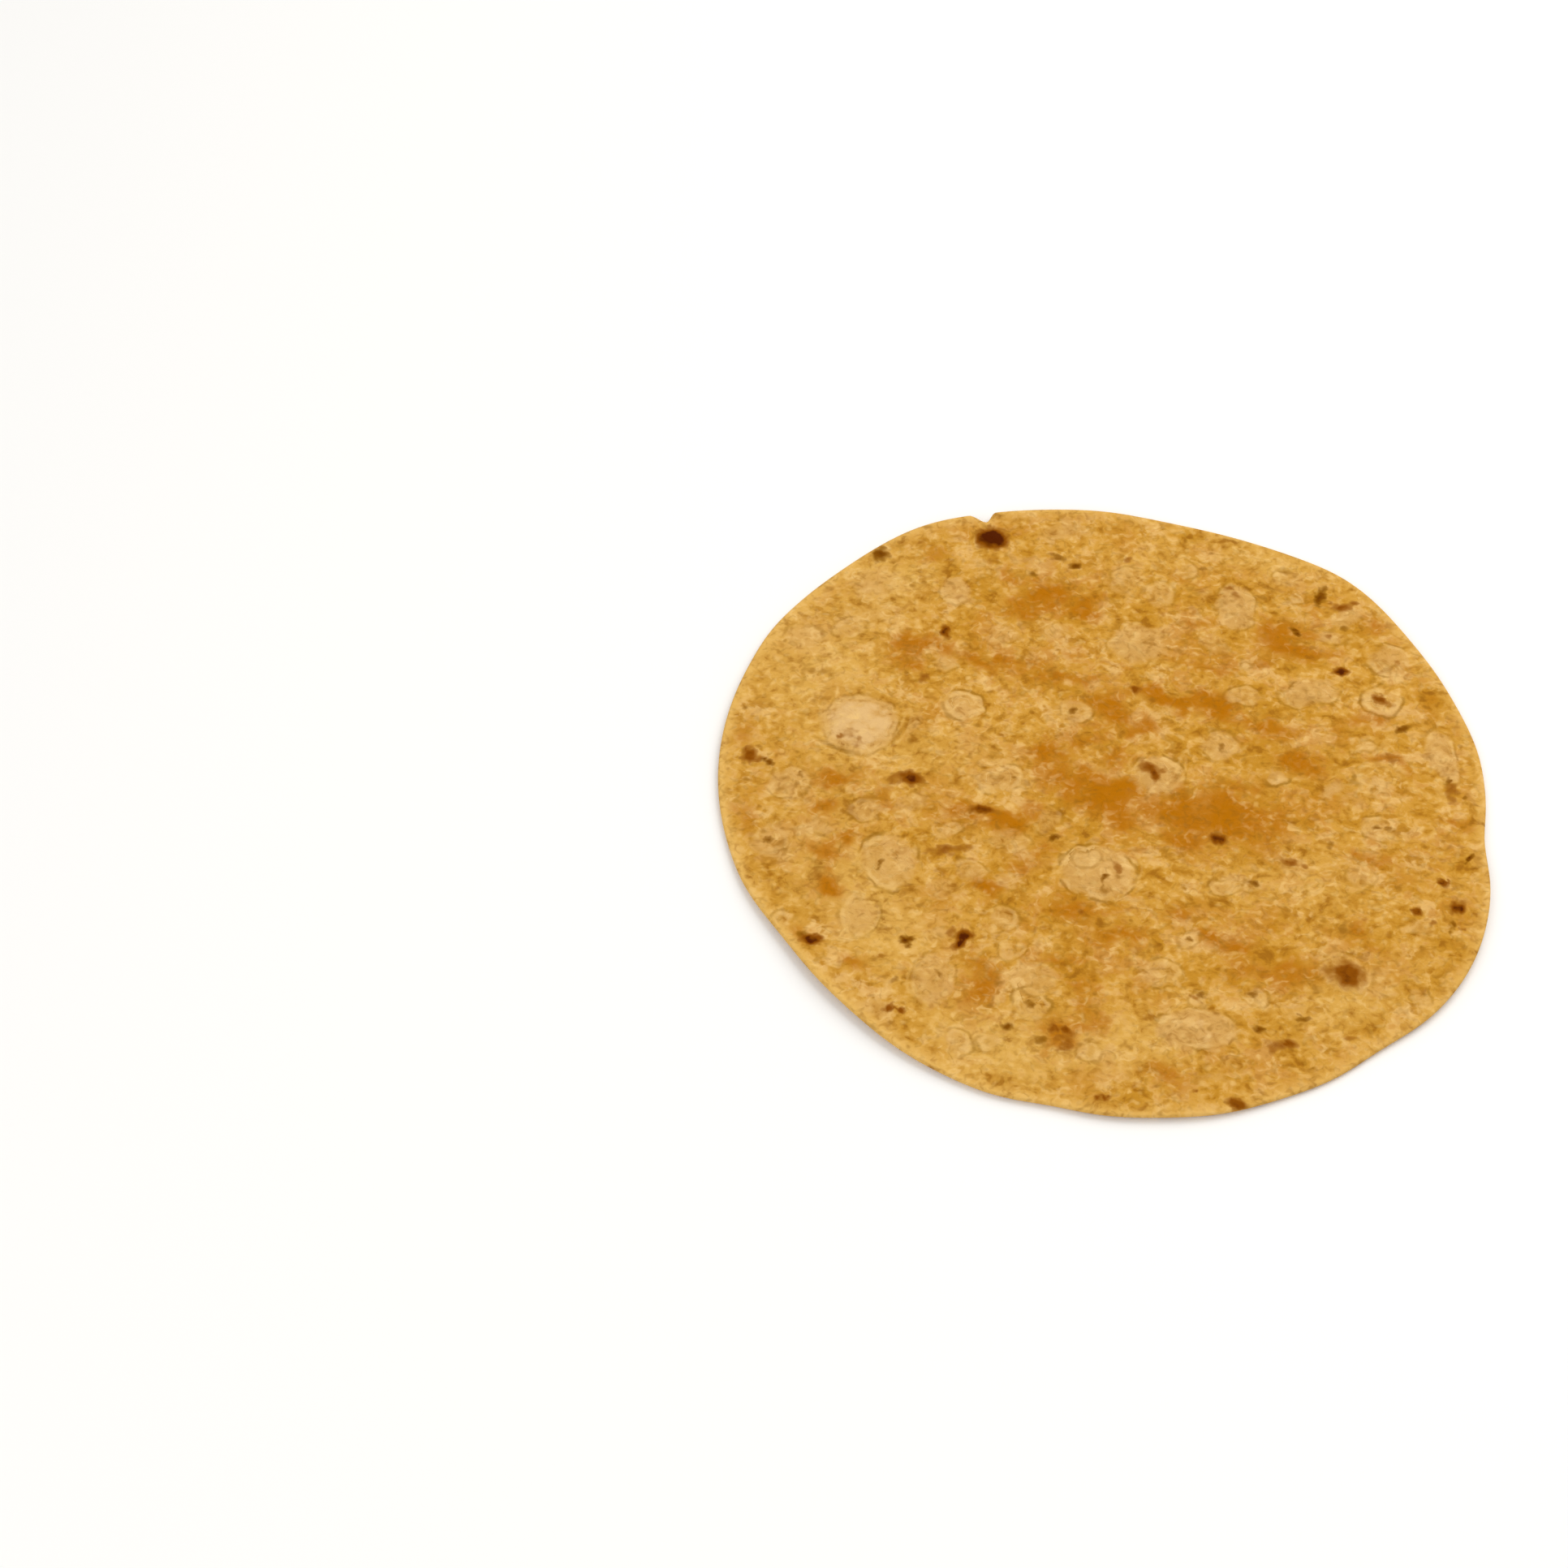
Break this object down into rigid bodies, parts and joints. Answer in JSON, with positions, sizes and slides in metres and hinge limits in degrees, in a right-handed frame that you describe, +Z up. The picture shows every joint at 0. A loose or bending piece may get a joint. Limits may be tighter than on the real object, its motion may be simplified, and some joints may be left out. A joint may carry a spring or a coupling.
{
  "type": "flour tortilla",
  "caption": "Round soft flour tortilla lying flat: thin uneven disc with a wavy rim, a small pinched nick, low puffed blisters and browned, scorched spots on its toasted face.",
  "frame": {"origin": "middle of the outline's bounding box, on the surface the tortilla rests on", "axes": "+Z up through the toasted face; +X along the longest width, to the right in the picture; +Y away from the camera"},
  "size_m": [0.2028, 0.194, 0.0034],
  "materials": {
    "toasted_dough": null
  },
  "bodies": {
    "root": {"tortilla": "toasted_dough"}
  },
  "joints": []
}
